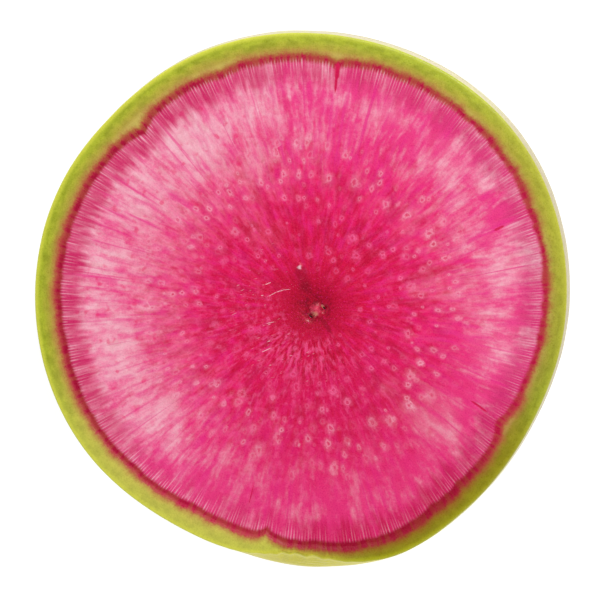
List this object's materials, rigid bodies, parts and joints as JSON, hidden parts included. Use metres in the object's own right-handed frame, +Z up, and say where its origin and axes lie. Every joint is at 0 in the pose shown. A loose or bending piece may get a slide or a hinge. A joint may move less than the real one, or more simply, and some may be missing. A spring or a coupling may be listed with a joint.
{
  "type": "watermelon radish slice",
  "caption": "Round cross-cut slice of a watermelon radish with a green rind, a crimson ring under it and ray-streaked magenta flesh, lying flat on its lower cut face.",
  "frame": {"origin": "middle of the lower cut face, which lies on the surface", "axes": "+Z up, out of the upper cut face; +X to the right and +Y to the top of the cut as the picture shows it"},
  "size_m": [0.076, 0.076, 0.0081],
  "materials": {
    "radish_flesh": "satin"
  },
  "bodies": {
    "root": {"radish_slice": "radish_flesh"}
  },
  "joints": []
}
